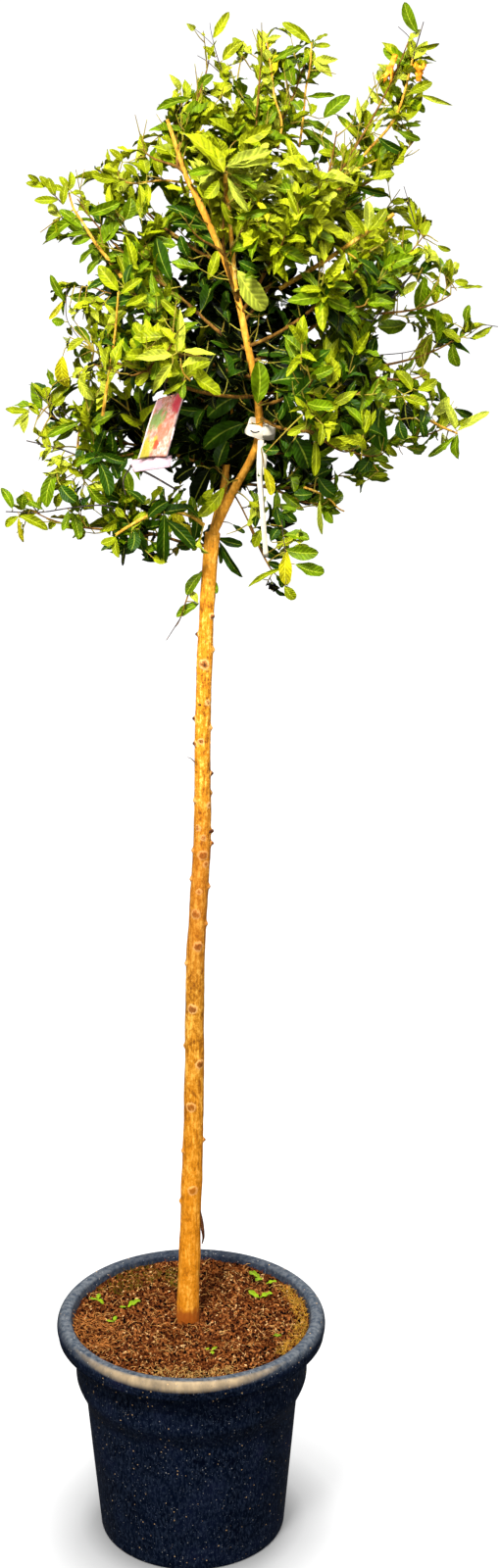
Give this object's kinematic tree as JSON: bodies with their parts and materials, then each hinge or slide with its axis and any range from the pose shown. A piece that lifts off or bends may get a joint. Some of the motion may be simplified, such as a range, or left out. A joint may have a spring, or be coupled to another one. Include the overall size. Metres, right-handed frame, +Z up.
{
  "type": "pomegranate tree in its pot",
  "caption": "Young pomegranate grown as a standard: a tall clear stem, a fork and an open leafy crown, in a rolled-rim nursery pot of potting mix, with a hanging label and a tape tie.",
  "frame": {"origin": "centre of the pot's flat underside", "axes": "+Z up the stem, -Y towards the front of the plant, +X to its right as seen from the front"},
  "size_m": [0.6674, 0.5457, 2.2258],
  "materials": {
    "pot": "dusty",
    "potting_mix": "damp peat and bark",
    "bark": "fibrous bark",
    "bough": "young bark",
    "foliage": "glossy leaves",
    "label": "printed",
    "tape": "soft tape"
  },
  "bodies": {
    "root": {"pot": "pot", "potting_mix": "potting_mix", "stem": "bark", "leader": "bark", "back_limb": "bark", "front_high_bough": "bough", "top_bough": "bough", "high_right_bough": "bough", "front_up_bough": "bough", "right_bough": "bough", "far_right_high_bough": "bough", "far_right_bough": "bough", "front_right_bough": "bough", "far_right_low_bough": "bough", "low_right_bough": "bough", "hanging_bough": "bough", "low_left_bough": "bough", "left_bough": "bough", "left_high_bough": "bough", "left_front_bough": "bough", "front_low_bough": "bough", "front_middle_bough": "bough", "back_top_bough": "bough", "back_left_bough": "bough", "back_right_bough": "bough", "back_low_bough": "bough", "upper_right_bough": "bough", "upper_left_bough": "bough", "label": "label", "tie": "tape", "summit_foliage": "foliage", "front_high_foliage": "foliage", "top_foliage": "foliage", "high_right_foliage": "foliage", "front_up_foliage": "foliage", "right_foliage": "foliage", "far_right_high_foliage": "foliage", "far_right_foliage": "foliage", "front_right_foliage": "foliage", "far_right_low_foliage": "foliage", "low_right_foliage": "foliage", "hanging_foliage": "foliage", "low_left_foliage": "foliage", "left_foliage": "foliage", "left_high_foliage": "foliage", "left_front_foliage": "foliage", "front_low_foliage": "foliage", "front_middle_foliage": "foliage", "back_foliage": "foliage", "back_top_foliage": "foliage", "back_left_foliage": "foliage", "back_right_foliage": "foliage", "back_low_foliage": "foliage", "upper_right_foliage": "foliage", "upper_left_foliage": "foliage", "stem_sprig_foliage": "foliage"}
  },
  "joints": []
}
